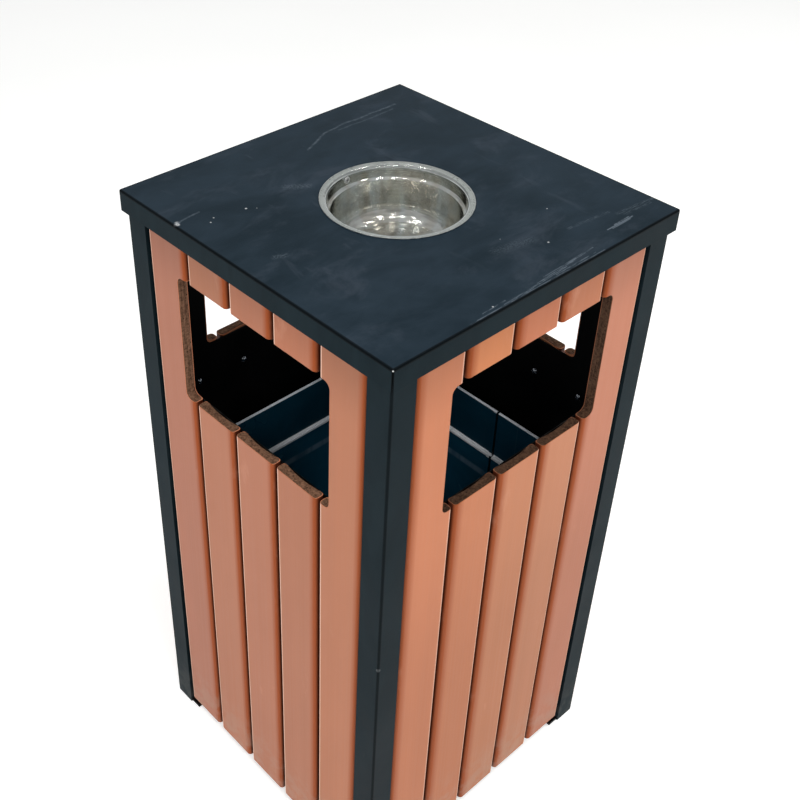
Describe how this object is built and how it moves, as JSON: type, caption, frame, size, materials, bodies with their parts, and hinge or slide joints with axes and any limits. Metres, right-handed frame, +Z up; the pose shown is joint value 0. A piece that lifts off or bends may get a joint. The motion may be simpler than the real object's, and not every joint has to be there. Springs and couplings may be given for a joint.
{
  "type": "litter bin",
  "caption": "Square slatted litter bin with side throw-in openings, stub-out bowl in the cover, locking access door and lift-out inner bin",
  "frame": {"origin": "on the floor at the centre of the square plan", "axes": "+Z up; -Y is the front face; the access door is the +Y face"},
  "size_m": [0.4, 0.4, 0.8015],
  "materials": {
    "cover_coat": "satin slate-black powder coat, scuffed",
    "post_coat": "satin slate-black powder coat",
    "inner_coat": "matt black coat",
    "slat_composite": "terracotta wood-plastic composite, brown core",
    "zinc_fasteners": "bright zinc",
    "polished_stainless": "polished",
    "rivet_aluminium": "bright",
    "nylon_washer": "natural nylon",
    "lock_chrome": "bright",
    "liner_coat": "gloss dark navy coat",
    "bail_wire": "zinc-plated wire"
  },
  "bodies": {
    "cabinet": {"top_cover": "cover_coat", "cover_studs": "zinc_fasteners", "cover_nuts": "zinc_fasteners", "ashtray_bowl": "polished_stainless", "bowl_rivet": "rivet_aluminium", "bowl_tab": "inner_coat", "top_frame": "inner_coat", "corner_post_front_left": "post_coat", "corner_post_rear_left": "post_coat", "corner_post_rear_right": "post_coat", "corner_post_front_right": "post_coat", "foot_plates": "inner_coat", "floor_tray": "inner_coat", "front_backing_panel": "inner_coat", "front_stile_slats": "slat_composite", "front_short_slats": "slat_composite", "front_lower_slats": "slat_composite", "front_slat_screws": "zinc_fasteners", "left_backing_panel": "inner_coat", "left_stile_slats": "slat_composite", "left_short_slats": "slat_composite", "left_lower_slats": "slat_composite", "left_slat_screws": "zinc_fasteners", "right_backing_panel": "inner_coat", "right_stile_slats": "slat_composite", "right_short_slats": "slat_composite", "right_lower_slats": "slat_composite", "right_slat_screws": "zinc_fasteners", "lower_pivot_bracket": "inner_coat", "pivot_washer": "nylon_washer", "door_stops": "inner_coat", "lock_strike": "inner_coat"},
    "door": {"door_panel": "inner_coat", "door_stile_slats": "slat_composite", "door_short_slats": "slat_composite", "door_lower_slats": "slat_composite", "door_slat_screws": "zinc_fasteners", "door_pivot_pins": "zinc_fasteners", "lock_housing": "lock_chrome", "lock_nut": "zinc_fasteners"},
    "lock": {"lock_plug": "lock_chrome", "lock_cam": "lock_chrome", "cam_screw": "zinc_fasteners"},
    "liner": {"inner_bin": "liner_coat", "bail_ears": "liner_coat"},
    "bail": {"bail_handle": "bail_wire"}
  },
  "joints": [
    {"name": "door_hinge", "type": "hinge", "parent": "cabinet", "child": "door", "pos_m": [-0.155, 0.187, 0.008], "axis": [0, 0, 1], "range_deg": [0, 105]},
    {"name": "lock_turn", "type": "hinge", "parent": "door", "child": "lock", "pos_m": [0.146, 0.167, 0.556], "axis": [0, -1, 0], "range_deg": [0, 90]},
    {"name": "liner_lift", "type": "slide", "parent": "cabinet", "child": "liner", "axis": [0, 0, 1], "range_m": [0, 0.06]},
    {"name": "bail_swing", "type": "hinge", "parent": "liner", "child": "bail", "pos_m": [0, 0, 0.432], "axis": [-1, 0, 0], "range_deg": [0, 204]}
  ]
}
